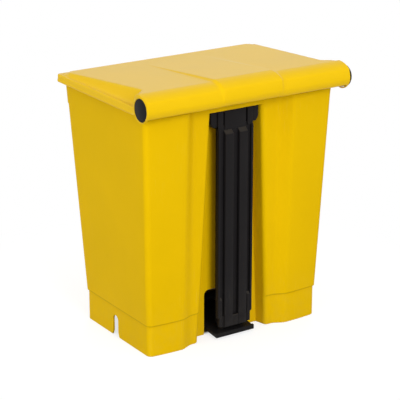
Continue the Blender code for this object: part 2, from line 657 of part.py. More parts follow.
reach = PEDAL_LENGTH / 2 - 4 * MM
half = PEDAL_HALF - 4 * MM
tread = place("pedal_tread", tilted(boxed(-half, half, -reach, reach, GAP, GAP + TREAD_THICK)), rubber)
for i in range(5):
    y = (-0.8 + 0.4 * i) * reach
    ridge = boxed(-half + 5 * MM, half - 5 * MM, y - 3 * MM, y + 3 * MM,
                  GAP + TREAD_THICK / 2, GAP + TREAD_THICK + TREAD_RIB)
    join(tread, tilted(ridge), "ridge_" + str(i))
for x, label in ((30 * MM, "left"), (-30 * MM, "right")):
    y = 0.2 * reach
    cut(tread, tilted(post(x, y, -1 * MM, 12 * MM, 4.3 * MM)), "tread_hole_" + label)
    cut(lever, tilted(post(x, y, -t - 3 * MM, 3 * MM, 2 * MM + GAP)), "screw_bore_" + label)
    flat = post(x, y, GAP, GAP + TREAD_THICK - 0.6 * MM, 4 * MM)
    screw = place("tread_screw_" + label, tilted(flat), steel)
    join(screw, tilted(post(x, y, -t + 1 * MM, GAP + 1 * MM, 2 * MM)), "tread_shank_" + label)
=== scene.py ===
"""Looks of a free-standing pedal bin: moulded yellow body and lid, black push column and pedal."""
import math

import bmesh
import bpy
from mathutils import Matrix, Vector


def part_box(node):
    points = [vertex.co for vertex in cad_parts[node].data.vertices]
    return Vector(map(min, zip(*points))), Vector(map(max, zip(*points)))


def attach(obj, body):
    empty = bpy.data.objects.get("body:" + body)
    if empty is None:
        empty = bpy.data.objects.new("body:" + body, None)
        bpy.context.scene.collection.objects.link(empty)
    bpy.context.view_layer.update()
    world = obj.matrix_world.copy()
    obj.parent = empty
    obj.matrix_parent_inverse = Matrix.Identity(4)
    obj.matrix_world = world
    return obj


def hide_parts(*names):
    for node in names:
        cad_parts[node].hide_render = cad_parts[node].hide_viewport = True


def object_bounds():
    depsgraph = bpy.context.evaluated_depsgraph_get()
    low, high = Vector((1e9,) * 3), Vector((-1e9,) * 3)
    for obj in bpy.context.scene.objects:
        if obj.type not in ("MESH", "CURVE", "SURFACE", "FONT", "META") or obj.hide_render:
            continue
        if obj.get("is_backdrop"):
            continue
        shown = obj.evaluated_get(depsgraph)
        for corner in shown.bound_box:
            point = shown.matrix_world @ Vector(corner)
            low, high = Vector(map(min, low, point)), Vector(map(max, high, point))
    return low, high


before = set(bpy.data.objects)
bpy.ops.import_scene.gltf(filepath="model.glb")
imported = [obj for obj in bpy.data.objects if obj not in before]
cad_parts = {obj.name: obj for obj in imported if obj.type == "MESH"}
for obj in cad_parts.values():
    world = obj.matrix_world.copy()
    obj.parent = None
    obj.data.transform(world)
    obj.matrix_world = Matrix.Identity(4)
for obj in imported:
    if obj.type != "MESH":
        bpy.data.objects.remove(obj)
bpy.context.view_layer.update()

# Container: one injection-moulded polyethylene shell with drafted walls on a slightly set-back base band.
# The back wall steps in beside a deep channel for the push column, and the floor sits high over the lever.
# It stands on its own edge, and carries the hinge arms at the rim and the axle's webs under the floor.
MM = 0.001
RIM = 438.2 * MM
BAND = 57 * MM
BAND_INSET = 2 * MM
HALF_WIDTH = 178.75 * MM
BACK = 152.6 * MM
FRONT = -67.4 * MM
SIDE_DRAFT, BACK_DRAFT, FRONT_DRAFT = 0.0353, 0.0438, 0.0882
CORNER = 10 * MM
WALL = 3 * MM
FLOOR = 88 * MM
CHANNEL_LOW, CHANNEL_TOP = 71 * MM, 52 * MM
CHANNEL_HEIGHT = 417 * MM
CHANNEL_BACK = 117 * MM
CHANNEL_EDGE = 8 * MM
PANEL_STEP_OUT, PANEL_STEP_IN = 112 * MM, 84 * MM
PANEL_BULGE = 3 * MM
MOUTH_SETBACK = 10 * MM
CHANNEL_TAPER, CHANNEL_FILLET = 3 * MM, 2.5 * MM
BRIDGE = 151 * MM
HINGE_ROOM, HINGE_ROOM_REACH, HINGE_ROOM_FRONT = 8.2 * MM, 24 * MM, 143 * MM
GRIP_HEIGHT, GRIP_PROUD = 40 * MM, 4.6 * MM
EDGE_ROUND = 1 * MM

pin_low, pin_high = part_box("hinge_pin_left")
HINGE_Y = (pin_low.y + pin_high.y) / 2
HINGE_Z = (pin_low.z + pin_high.z) / 2
axle_low, axle_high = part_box("lever_axle")
AXLE_Y = (axle_low.y + axle_high.y) / 2
AXLE_Z = (axle_low.z + axle_high.z) / 2


def ease(t):
    """Smooth step from 0 to 1."""
    t = min(max(t, 0.0), 1.0)
    return t * t * (3 - 2 * t)


def straight(a, b, steps):
    """Points from a towards b, both ends left out."""
    return [(a[0] + (b[0] - a[0]) * i / steps, a[1] + (b[1] - a[1]) * i / steps)
            for i in range(1, steps)]


def arc(x, y, radius, start, end, steps):
    points = []
    for i in range(steps + 1):
        a = math.radians(start + (end - start) * i / steps)
        points.append((x + radius * math.cos(a), y + radius * math.sin(a)))
    return points


def body_half_width(z):
    return HALF_WIDTH + SIDE_DRAFT * (z - BAND)


def body_outline(z):
    """Outside of the shell at height z, anticlockwise from the middle of the front."""
    at = max(z, BAND)
    inset = BAND_INSET if z < BAND else 0.0
    half = body_half_width(at) - inset
    back = BACK + BACK_DRAFT * (at - BAND) - inset - PANEL_BULGE
    front = FRONT - FRONT_DRAFT * (at - BAND) + inset
    mouth = CHANNEL_LOW + (CHANNEL_TOP - CHANNEL_LOW) * z / CHANNEL_HEIGHT
    low_mouth = BACK - MOUTH_SETBACK
    mouth_y = low_mouth + (BRIDGE - low_mouth) * z / CHANNEL_HEIGHT - inset
    deep = mouth - CHANNEL_TAPER
    r, edge, fillet = CORNER, CHANNEL_EDGE, CHANNEL_FILLET
    side = [(0.0, front)]
    side += straight((0.0, front), (half - r, front), 9)
    side += arc(half - r, front + r, r, -90, 0, 9)
    side += straight((half, front + r), (half, back - r), 12)
    side += arc(half - r, back - r, r, 0, 90, 9)
    for i in range(1, 9):
        t = 1 - i / 9
        x = PANEL_STEP_OUT + (half - r - PANEL_STEP_OUT) * t
        side.append((x, back + PANEL_BULGE * (1 - t * t)))
    back += PANEL_BULGE
    for i in range(17):
        t = i / 16
        x = PANEL_STEP_OUT + (PANEL_STEP_IN - PANEL_STEP_OUT) * t
        side.append((x, back + (mouth_y - back) * ease(t)))
    side += straight((PANEL_STEP_IN, mouth_y), (mouth + edge, mouth_y), 3)
    side += arc(mouth + edge, mouth_y - edge, edge, 90, 180, 9)
    side += straight((mouth, mouth_y - edge), (deep, CHANNEL_BACK + fillet), 4)
    side += arc(deep - fillet, CHANNEL_BACK + fillet, fillet, 0, -90, 5)
    side += straight((deep - fillet, CHANNEL_BACK), (0.0, CHANNEL_BACK), 4)
    side.append((0.0, CHANNEL_BACK))
    return side + [(-x, y) for x, y in reversed(side[1:-1])]


def outward(points, i):
    ahead = points[(i + 1) % len(points)]
    behind = points[i - 1]
    along = Vector((ahead[0] - behind[0], ahead[1] - behind[1])).normalized()
    return Vector((along.y, -along.x))


def body_row(z, inset):
    """One ring of the shell: the outline moved in, the grip band and the lowered back rim added."""
    points = body_outline(z)
    row = []
    for i, (x, y) in enumerate(points):
        n = outward(points, i)
        grip = ease((z - (RIM - GRIP_HEIGHT)) / (1.2 * MM)) * GRIP_PROUD * max(-n.y, 0.0) ** 3
        drop = HINGE_ROOM * ease((y - HINGE_ROOM_FRONT) / (4 * MM))
        drop *= ease((z - (RIM - HINGE_ROOM_REACH)) / HINGE_ROOM_REACH)
        row.append((x - n.x * (inset - grip), y - n.y * (inset - grip), z - drop))
    return row


def loft_rows(bm, rows, closed_tube):
    """Skins rings of equal point count; a closed tube joins the last ring to the first."""
    rings = [[bm.verts.new(p) for p in row] for row in rows]
    pairs = list(zip(rings, rings[1:]))
    if closed_tube:
        pairs.append((rings[-1], rings[0]))
    for low, high in pairs:
        for i in range(len(low)):
            j = (i + 1) % len(low)
            bm.faces.new((low[i], low[j], high[j], high[i]))
    return rings


SHARP_FROM = 38


def finish_mesh(bm, name):
    """A smooth-shaded mesh, with edges sharper than the set angle kept crisp."""
    bmesh.ops.recalc_face_normals(bm, faces=bm.faces)
    mesh = bpy.data.meshes.new(name)
    bm.to_mesh(mesh)
    bm.free()
    mesh.shade_smooth()
    mesh.set_sharp_from_angle(angle=math.radians(SHARP_FROM))
    return mesh


def show(name, mesh, material):
    obj = bpy.data.objects.new(name, mesh)
    bpy.context.scene.collection.objects.link(obj)
    mesh.materials.append(material)
    return obj


def prism(bm, outline, axis, low, high, soft=0.0):
    """Extrudes an outline along X, given in (y, z), or along Y, given in (x, z), with softened edges."""
    ends = []
    for at in (low, high):
        ends.append([bm.verts.new((at, u, v) if axis == "X" else (u, at, v)) for u, v in outline])
    faces = [bm.faces.new(ends[0]), bm.faces.new(ends[1])]
    for i in range(len(outline)):
        j = (i + 1) % len(outline)
        faces.append(bm.faces.new((ends[0][i], ends[0][j], ends[1][j], ends[1][i])))
    bmesh.ops.recalc_face_normals(bm, faces=faces)
    if soft:
        edges = list({e for f in faces for e in f.edges})
        bmesh.ops.bevel(bm, geom=edges, offset=soft, segments=2, profile=0.5, affect="EDGES")


def block(bm, x0, x1, y0, y1, z0, z1, soft):
    prism(bm, [(y0, z0), (y1, z0), (y1, z1), (y0, z1)], "X", x0, x1, soft)


def tube(bm, x0, x1, y, z, outer, inner, soft, sides=48):
    """A ring along X with rounded rims, or a solid rod where inner is 0."""
    profile = [(x0, outer - soft), (x0 + soft * 0.3, outer - soft * 0.3), (x0 + soft, outer)]
    profile += [(x1 - soft, outer), (x1 - soft * 0.3, outer - soft * 0.3), (x1, outer - soft)]
    if inner:
        profile += [(x1, inner + soft), (x1 - soft, inner), (x0 + soft, inner), (x0, inner + soft)]
    rows = []
    for x, r in profile:
        turns = [2 * math.pi * i / sides for i in range(sides)]
        rows.append([(x, y + r * math.cos(a), z + r * math.sin(a)) for a in turns])
    rings = loft_rows(bm, rows, bool(inner))
    if not inner:
        bm.faces.new(list(reversed(rings[0])))
        bm.faces.new(rings[-1])


def cut_away(mesh, cutter_bm):
    """The mesh with the cutter's volume taken out."""
    tool_mesh = finish_mesh(cutter_bm, "cutter")
    target = bpy.data.objects.new("target", mesh)
    tool = bpy.data.objects.new("cutter", tool_mesh)
    for obj in (target, tool):
        bpy.context.scene.collection.objects.link(obj)
    step = target.modifiers.new("cut", "BOOLEAN")
    step.operation = "DIFFERENCE"
    step.solver = "EXACT"
    step.object = tool
    seen_now = bpy.context.evaluated_depsgraph_get()
    result = bpy.data.meshes.new_from_object(target.evaluated_get(seen_now))
    for obj in (target, tool):
        bpy.data.objects.remove(obj)
    return result


levels = [1.0, 14, 28, 42, 55.6, 56.8, 57.0, 58.2, 72, 100, 140, 180, 220, 260, 300, 340, 375, 397.6]
levels += [398.6, 399.2, 400, 410, 417, 425, 432, 437.2]
inner_edge = WALL - 0.6 * MM
outside = [body_row(0.0, EDGE_ROUND)] + [body_row(z * MM, 0.0) for z in levels] + [body_row(RIM, EDGE_ROUND)]
inside = [body_row(RIM, inner_edge)] + [body_row(z * MM, WALL) for z in reversed(levels)]
inside.append(body_row(0.0, inner_edge))
bm = bmesh.new()
loft_rows(bm, outside + inside, True)
shell = finish_mesh(bm, "shell")

LEVER_SLOT, LEVER_SLOT_TOP = 44 * MM, 84.5 * MM
PEDAL_SLOT_TOP = 46 * MM
NOTCH, NOTCH_TOP, NOTCH_FLARE, NOTCH_FLARE_TOP = 8.5 * MM, 40 * MM, 4 * MM, 9 * MM
BELOW = -20 * MM


def slot_outline(half, top, round_by):
    points = [(-half, BELOW), (half, BELOW)]
    points += arc(half - round_by, top - round_by, round_by, 0, 90, 6)
    points += arc(-half + round_by, top - round_by, round_by, 90, 180, 6)
    return points


cuts = bmesh.new()
lever_slot = slot_outline(LEVER_SLOT, LEVER_SLOT_TOP, 9 * MM)
prism(cuts, lever_slot, "Y", CHANNEL_BACK - 9 * MM, CHANNEL_BACK + 4 * MM)
pedal_slot = slot_outline(LEVER_SLOT, PEDAL_SLOT_TOP, 6 * MM)
prism(cuts, pedal_slot, "Y", FRONT - 8 * MM, FRONT + 12 * MM)
notch_foot = NOTCH + NOTCH_FLARE
notch = [(-notch_foot, BELOW), (notch_foot, BELOW), (notch_foot, 0.0)]
notch += [(NOTCH, NOTCH_FLARE_TOP)] + arc(0.0, NOTCH_TOP - NOTCH, NOTCH, 0, 180, 12)
notch += [(-NOTCH, NOTCH_FLARE_TOP), (-notch_foot, 0.0)]
notch = [(AXLE_Y + y, z) for y, z in notch]
for side in (1, -1):
    low, high = sorted((side * (HALF_WIDTH - 12 * MM), side * (HALF_WIDTH + 8 * MM)))
    prism(cuts, notch, "X", low, high)
shell = cut_away(shell, cuts)

LUG, LUG_BOSS, PIN_BORE = 9 * MM, 8.5 * MM, 5.3 * MM
ARM = [(-7, 3.5), (-20, -6), (-36, -16), (-46, -16), (-46, -30), (-34, -22), (-17, -12.5), (3, -8)]
WEB, WEB_INNER, WEB_BORE, WEB_REACH, WEB_DROP = 5 * MM, 44 * MM, 4.3 * MM, 20 * MM, 12 * MM
LUG_INNER, LUG_OUTER = body_half_width(RIM) - LUG, body_half_width(RIM) - WALL / 2
bm = bmesh.new()
bores = bmesh.new()
for side in (1, -1):
    low, high = sorted((side * LUG_INNER, side * LUG_OUTER))
    prism(bm, [(HINGE_Y + y * MM, HINGE_Z + z * MM) for y, z in ARM], "X", low, high)
    tube(bores, low - 3 * MM, high + 3 * MM, HINGE_Y, HINGE_Z, PIN_BORE, 0.0, 0.0, 40)
    low, high = sorted((side * WEB_INNER, side * (WEB_INNER + WEB)))
    web = [(AXLE_Y - WEB_REACH, FLOOR - WALL / 2), (AXLE_Y - WEB_REACH / 2, AXLE_Z - WEB_DROP),
           (AXLE_Y + WEB_REACH / 2, AXLE_Z - WEB_DROP), (AXLE_Y + WEB_REACH, FLOOR - WALL / 2)]
    prism(bm, web, "X", low, high)
    tube(bores, low - 2 * MM, high + 2 * MM, AXLE_Y, AXLE_Z, WEB_BORE, 0.0, 0.0, 40)
carriers = cut_away(finish_mesh(bm, "carriers"), bores)

bm = bmesh.new()
bm.from_mesh(shell)
bm.from_mesh(carriers)
for side in (1, -1):
    low, high = sorted((side * LUG_INNER, side * LUG_OUTER))
    tube(bm, low - 0.6 * MM, high + 0.6 * MM, HINGE_Y, HINGE_Z, LUG_BOSS, PIN_BORE, 0.5 * MM)
block(bm, -CHANNEL_TOP - 5 * MM, CHANNEL_TOP + 5 * MM, BRIDGE - WALL, BRIDGE - 0.2 * MM,
      CHANNEL_HEIGHT, RIM - HINGE_ROOM, 0.9 * MM)
floor_rings = []
for z in (FLOOR - WALL, FLOOR):
    row = [(x, y, z) for x, y, _ in body_row(z, WALL - 0.4 * MM)]
    floor_rings.append([bm.verts.new(p) for p in row])
bm.faces.new(list(reversed(floor_rings[0])))
bm.faces.new(floor_rings[1])
body_mesh = finish_mesh(bm, "container")


def link(tree, *pairs):
    for start, end in pairs:
        tree.links.new(start, end)


def add_node(tree, kind, **values):
    """A shader node with its settings and its inputs' values given by name; spaces are written as _."""
    node = tree.nodes.new("ShaderNode" + kind)
    for key, value in values.items():
        socket = key.replace("_", " ")
        if socket in node.inputs:
            node.inputs[socket].default_value = value
        else:
            setattr(node, key, value)
    return node


moulded = bpy.data.node_groups.new("Moulded surface", "ShaderNodeTree")
for label, kind, value in (("Colour", "NodeSocketColor", (0.5, 0.5, 0.5, 1.0)),
                           ("Rubbed colour", "NodeSocketColor", (0.6, 0.6, 0.6, 1.0)),
                           ("Roughness", "NodeSocketFloat", 0.4), ("Clouding", "NodeSocketFloat", 0.03),
                           ("Grain size", "NodeSocketFloat", 1600.0), ("Grain depth", "NodeSocketFloat", 0.1),
                           ("Waviness", "NodeSocketFloat", 0.1), ("Scuffs", "NodeSocketFloat", 0.2),
                           ("Dust", "NodeSocketFloat", 0.1), ("Settled", "NodeSocketFloat", 0.0)):
    socket = moulded.interface.new_socket(label, in_out="INPUT", socket_type=kind)
    socket.default_value = value
SURFACE_OUTPUTS = (("Colour", "NodeSocketColor"), ("Roughness", "NodeSocketFloat"),
                   ("Normal", "NodeSocketVector"))
for label, kind in SURFACE_OUTPUTS:
    moulded.interface.new_socket(label, in_out="OUTPUT", socket_type=kind)
given = moulded.nodes.new("NodeGroupInput")
out = moulded.nodes.new("NodeGroupOutput")
place = add_node(moulded, "TexCoord")
cloud = add_node(moulded, "TexNoise", Scale=9.0, Detail=4.0, Roughness=0.55)
cloud_sign = add_node(moulded, "MapRange", From_Min=0.3, From_Max=0.7, To_Min=-1.0, To_Max=1.0)
cloud_gain = add_node(moulded, "Math", operation="MULTIPLY_ADD")
cloud_gain.inputs[2].default_value = 1.0
tint = add_node(moulded, "HueSaturation")
grain = add_node(moulded, "TexNoise", Detail=2.0, Roughness=0.6)
wave = add_node(moulded, "TexNoise", Scale=16.0, Detail=1.0)
stretch_a = add_node(moulded, "Mapping", Rotation=(0.5, 0.3, 0.9), Scale=(900.0, 900.0, 16.0))
stretch_b = add_node(moulded, "Mapping", Rotation=(1.2, 0.7, 0.2), Scale=(700.0, 700.0, 24.0))
streak_a = add_node(moulded, "TexNoise", Scale=1.0, Detail=1.0)
streak_b = add_node(moulded, "TexNoise", Scale=1.0, Detail=1.0)
thin_a = add_node(moulded, "MapRange", From_Min=0.69, From_Max=0.74)
thin_b = add_node(moulded, "MapRange", From_Min=0.70, From_Max=0.75)
streaks = add_node(moulded, "Math", operation="MAXIMUM")
patch = add_node(moulded, "TexNoise", Scale=5.0, Detail=3.0)
patch_edge = add_node(moulded, "MapRange", From_Min=0.45, From_Max=0.7)
patched = add_node(moulded, "Math", operation="MULTIPLY")
scuffed = add_node(moulded, "Math", operation="MULTIPLY")
rubbed = add_node(moulded, "Mix", data_type="RGBA")
height = add_node(moulded, "SeparateXYZ")
low_down = add_node(moulded, "MapRange", From_Min=0.0, From_Max=0.11, To_Min=1.0, To_Max=0.0)
speck = add_node(moulded, "TexNoise", Scale=60.0, Detail=6.0, Roughness=0.7)
speck_edge = add_node(moulded, "MapRange", From_Min=0.4, From_Max=0.75)
dust_mask = add_node(moulded, "Math", operation="MULTIPLY")
dusty = add_node(moulded, "Math", operation="MULTIPLY")
top_light_dust_mix = add_node(moulded, "Mix", data_type="RGBA")
top_light_dust_mix.inputs["B"].default_value = (0.30, 0.26, 0.20, 1.0)
# Upward faces are lightened towards the dust colour: settled dust, and also painted light standing in for the
# light that catches top faces.
facing = add_node(moulded, "SeparateXYZ")
upward = add_node(moulded, "MapRange", From_Min=0.45, From_Max=0.8)
top_dust_and_light = add_node(moulded, "Math", operation="MULTIPLY")
dust_and_top_light = add_node(moulded, "Math", operation="ADD", use_clamp=True)
rough_cloud = add_node(moulded, "Math", operation="MULTIPLY_ADD")
rough_cloud.inputs[1].default_value = 0.006
rough_scuff = add_node(moulded, "Math", operation="MULTIPLY_ADD")
rough_scuff.inputs[1].default_value = 0.35
rough_dust = add_node(moulded, "Math", operation="MULTIPLY_ADD", use_clamp=True)
rough_dust.inputs[1].default_value = 0.4
wave_bump = add_node(moulded, "Bump", Distance=0.003)
grain_bump = add_node(moulded, "Bump", Distance=0.0002)
for texture in (cloud, grain, wave, patch, speck, stretch_a, stretch_b, height):
    link(moulded, (place.outputs["Object"], texture.inputs["Vector"]))
link(moulded,
     (cloud.outputs["Fac"], cloud_sign.inputs["Value"]), (cloud_sign.outputs["Result"], cloud_gain.inputs[0]),
     (given.outputs["Clouding"], cloud_gain.inputs[1]), (cloud_gain.outputs[0], tint.inputs["Value"]),
     (given.outputs["Colour"], tint.inputs["Color"]),
     (stretch_a.outputs[0], streak_a.inputs["Vector"]), (stretch_b.outputs[0], streak_b.inputs["Vector"]),
     (streak_a.outputs["Fac"], thin_a.inputs["Value"]), (streak_b.outputs["Fac"], thin_b.inputs["Value"]),
     (thin_a.outputs["Result"], streaks.inputs[0]), (thin_b.outputs["Result"], streaks.inputs[1]),
     (patch.outputs["Fac"], patch_edge.inputs["Value"]), (patch_edge.outputs["Result"], patched.inputs[0]),
     (streaks.outputs[0], patched.inputs[1]), (patched.outputs[0], scuffed.inputs[0]),
     (given.outputs["Scuffs"], scuffed.inputs[1]), (scuffed.outputs[0], rubbed.inputs["Factor"]),
     (tint.outputs["Color"], rubbed.inputs["A"]), (given.outputs["Rubbed colour"], rubbed.inputs["B"]),
     (height.outputs["Z"], low_down.inputs["Value"]), (speck.outputs["Fac"], speck_edge.inputs["Value"]),
     (low_down.outputs["Result"], dust_mask.inputs[0]), (speck_edge.outputs["Result"], dust_mask.inputs[1]),
     (dust_mask.outputs[0], dusty.inputs[0]), (given.outputs["Dust"], dusty.inputs[1]),
     (place.outputs["Normal"], facing.inputs[0]), (facing.outputs["Z"], upward.inputs["Value"]),
     (upward.outputs["Result"], top_dust_and_light.inputs[0]), (given.outputs["Settled"], top_dust_and_light.inputs[1]),
     (dusty.outputs[0], dust_and_top_light.inputs[0]), (top_dust_and_light.outputs[0], dust_and_top_light.inputs[1]),
     (dust_and_top_light.outputs[0], top_light_dust_mix.inputs["Factor"]), (rubbed.outputs["Result"], top_light_dust_mix.inputs["A"]),
     (top_light_dust_mix.outputs["Result"], out.inputs["Colour"]),
     (cloud_sign.outputs["Result"], rough_cloud.inputs[0]),
     (given.outputs["Roughness"], rough_cloud.inputs[2]),
     (scuffed.outputs[0], rough_scuff.inputs[0]), (rough_cloud.outputs[0], rough_scuff.inputs[2]),
     (dust_and_top_light.outputs[0], rough_dust.inputs[0]), (rough_scuff.outputs[0], rough_dust.inputs[2]),
     (rough_dust.outputs[0], out.inputs["Roughness"]),
     (given.outputs["Grain size"], grain.inputs["Scale"]),
     (given.outputs["Waviness"], wave_bump.inputs["Strength"]),
     (wave.outputs["Fac"], wave_bump.inputs["Height"]),
     (given.outputs["Grain depth"], grain_bump.inputs["Strength"]),
     (grain.outputs["Fac"], grain_bump.inputs["Height"]),
     (wave_bump.outputs["Normal"], grain_bump.inputs["Normal"]),
     (grain_bump.outputs["Normal"], out.inputs["Normal"]))


def moulded_material(name, specular, **values):
    """A plastic or rubber finish from the shared group, with this piece's own values."""
    material = bpy.data.materials.new(name)
    material.use_nodes = True
    tree = material.node_tree
    shader = tree.nodes["Principled BSDF"]
    shader.inputs["Specular IOR Level"].default_value = specular
    skin = tree.nodes.new("ShaderNodeGroup")
    skin.node_tree = moulded
    for key, value in values.items():
        skin.inputs[key.replace("_", " ")].default_value = value
    link(tree, (skin.outputs["Colour"], shader.inputs["Base Color"]),
         (skin.outputs["Roughness"], shader.inputs["Roughness"]),
         (skin.outputs["Normal"], shader.inputs["Normal"]))
    return material


yellow_body = moulded_material(
    "yellow_polyethylene", 0.03, Colour=(0.86, 0.535, 0.0015, 1.0), Rubbed_colour=(0.93, 0.66, 0.10, 1.0),
    Roughness=0.42, Clouding=0.025, Grain_size=1500.0, Grain_depth=0.10, Waviness=0.05, Scuffs=0.30,
    Dust=0.07)
# Painted shade: a thin dark line along the top of the base band, where the upper wall's overhang casts its
# shadow; it is left out of the channel.
SEAM_SHADE, SEAM_CORE, SEAM_REACH = 0.32, 0.3 * MM, 2.2 * MM
tree = yellow_body.node_tree
where = add_node(tree, "TexCoord")
axes = add_node(tree, "SeparateXYZ")
above = add_node(tree, "Math", operation="SUBTRACT")
above.inputs[1].default_value = BAND
off_seam = add_node(tree, "Math", operation="ABSOLUTE")
seam_line = add_node(tree, "MapRange", From_Min=SEAM_CORE, From_Max=SEAM_REACH, To_Min=SEAM_SHADE, To_Max=0.0)
sideways = add_node(tree, "Math", operation="ABSOLUTE")
beside = add_node(tree, "Math", operation="GREATER_THAN")
beside.inputs[1].default_value = CHANNEL_LOW + 1 * MM
ahead = add_node(tree, "Math", operation="LESS_THAN")
ahead.inputs[1].default_value = 0.0
outside_channel = add_node(tree, "Math", operation="MAXIMUM")
seam = add_node(tree, "Math", operation="MULTIPLY")
seam_painted_shade = add_node(tree, "Mix", data_type="RGBA")
seam_painted_shade.inputs["B"].default_value = (0.12, 0.07, 0.002, 1.0)
link(tree, (where.outputs["Object"], axes.inputs[0]), (axes.outputs["Z"], above.inputs[0]),
     (above.outputs[0], off_seam.inputs[0]), (off_seam.outputs[0], seam_line.inputs["Value"]),
     (axes.outputs["X"], sideways.inputs[0]), (sideways.outputs[0], beside.inputs[0]),
     (axes.outputs["Y"], ahead.inputs[0]), (beside.outputs[0], outside_channel.inputs[0]),
     (ahead.outputs[0], outside_channel.inputs[1]), (seam_line.outputs["Result"], seam.inputs[0]),
     (outside_channel.outputs[0], seam.inputs[1]), (seam.outputs[0], seam_painted_shade.inputs["Factor"]),
     (tree.nodes["Principled BSDF"].inputs["Base Color"].links[0].from_socket, seam_painted_shade.inputs["A"]),
     (seam_painted_shade.outputs["Result"], tree.nodes["Principled BSDF"].inputs["Base Color"]))
body = show("container", body_mesh, yellow_body)
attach(body, "container")
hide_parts("body_shell")

# Lid: polyethylene moulding whose raised top climbs from the front edge to a hinge barrel along the back.
# A rounded ledge and a beaded flange run round it, and a low panel in the middle carries on over the barrel.
# Plates close the barrel's ends round the hinge plugs, and a pad under the top takes the crank's screws.
lid_low, lid_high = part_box("lid_shell")
LID_HALF = lid_high.x
LID_FRONT = lid_low.y
FLANGE_LOW = HINGE_Z - 13.5 * MM
BARREL = 22 * MM
PANEL_HALF = 58 * MM
CROWN = 25.2 * MM
CROWN_SETBACK = 9 * MM
FRONT_STEP = 4 * MM
PANEL_OVER = lid_high.z - HINGE_Z - CROWN - 0.1 * MM
LID_SKIN = 3 * MM
LEDGE_ROUND = 3 * MM
LID_SHARP_FROM = 55
BEAD = 0.8 * MM
PLAN_CORNER = 9 * MM
TOP_CORNER = 22 * MM
TOP_FOOT, TOP_INSET_FRONT, TOP_NARROWING = 4.5 * MM, 9 * MM, 15 * MM
FLARE_REACH, FLARE_LENGTH = 38 * MM, 24 * MM
FRONT_FOOT, FRONT_RISE = 4 * MM, 14 * MM
PANEL_START = -48 * MM


def panel_mask(x, slope=5 * MM):
    """1 on the middle panel, falling to 0 over the slope beside it."""
    return min(max((PANEL_HALF + slope - abs(x)) / slope, 0.0), 1.0)


def cove(t):
    """Sweeps up from 0 to a firm edge at 1."""
    if t < 0.9:
        return max(t, 0.0) ** 2.6
    u = min((t - 0.9) / 0.2, 1.0)
    return 0.76 + 0.44 * u * (1 - u) ** 2 + 0.24 * ease(u)


def lid_top(x, y):
    """Height of the lid's upper side in front of the roll's crown."""
    start = LID_FRONT + TOP_INSET_FRONT
    crown_y = HINGE_Y - CROWN_SETBACK
    along = min(max((y - start) / (crown_y - start), 0.0), 1.0)
    top_z = HINGE_Z + FRONT_STEP + along * (CROWN - FRONT_STEP)
    ledge = HINGE_Z - 0.4 * MM
    flare = ease((y - (HINGE_Y - FLARE_REACH)) / FLARE_LENGTH)
    narrowing = min(max((y - LID_FRONT) / (HINGE_Y - FLARE_REACH - LID_FRONT), 0.0), 1.0)
    foot = LID_HALF - TOP_FOOT
    top = LID_HALF - TOP_INSET_FRONT - TOP_NARROWING * narrowing
    top += flare * (foot - 3 * MM - top)
    aside, ahead = foot - abs(x), y - LID_FRONT - FRONT_FOOT
    if aside < TOP_CORNER and ahead < TOP_CORNER:
        inside_round = TOP_CORNER - math.hypot(TOP_CORNER - aside, TOP_CORNER - ahead)
        aside, ahead = min(aside, inside_round), min(ahead, inside_round)
    rise = cove(aside / (foot - top)) * ease(ahead / FRONT_RISE)
    z = ledge + (top_z - ledge) * rise
    climb = min(max((y - PANEL_START) / (crown_y - PANEL_START), 0.0), 1.0)
    slope = (1.2 + 3.8 * climb if x > 0 else 10 - 5 * climb) * MM
    z += PANEL_OVER * climb * panel_mask(x, slope)
    edge = min(LID_HALF - BEAD - abs(x), y - LID_FRONT - BEAD)
    if edge < LEDGE_ROUND:
        sunk = LEDGE_ROUND - max(edge, 0.0)
        z -= LEDGE_ROUND - math.sqrt(max(LEDGE_ROUND ** 2 - sunk ** 2, 0.0))
    roll_reach = BARREL - CROWN_SETBACK
    if y > crown_y - roll_reach:
        z = max(z, HINGE_Z + CROWN * math.sqrt(max(1 - ((y - crown_y) / roll_reach) ** 2, 0.0)))
    return z


def bend(a, b, c, t):
    """Point on the curve from a to c that leaves and arrives along b."""
    return tuple(p * (1 - t) ** 2 + 2 * q * t * (1 - t) + r * t * t for p, q, r in zip(a, b, c))


RIDGE = (18.4 * MM, 15.4 * MM)
roll_profile = [bend((-CROWN_SETBACK, CROWN), (8.6 * MM, CROWN - 1 * MM), RIDGE, i / 12)
                for i in range(1, 13)]
roll_profile += [bend(RIDGE, (BARREL - 0.6 * MM, 8 * MM), (BARREL, -1 * MM), i / 8) for i in range(1, 9)]
roll_back = list(roll_profile)
roll_profile += arc(0.0, 0.0, BARREL, -7, -25, 5)
LIP = roll_profile[-1]
roll_profile += [bend(LIP, (18.6 * MM, -13.2 * MM), (15 * MM, -13.8 * MM), i / 5) for i in range(1, 6)]


def roll_point(x, i):
    """Point of the hinge roll's skin: a crown, a soft ridge and a steeper back; the panel rides over it."""
    y, z = roll_profile[i]
    lift = 1 + PANEL_OVER / CROWN * panel_mask(x) * ease((z + 16 * MM) / (36 * MM))
    end = 1 - 0.06 * panel_mask(x) * ease(-z / (20 * MM))
    return (x, HINGE_Y + y * lift, HINGE_Z + z * lift * end)


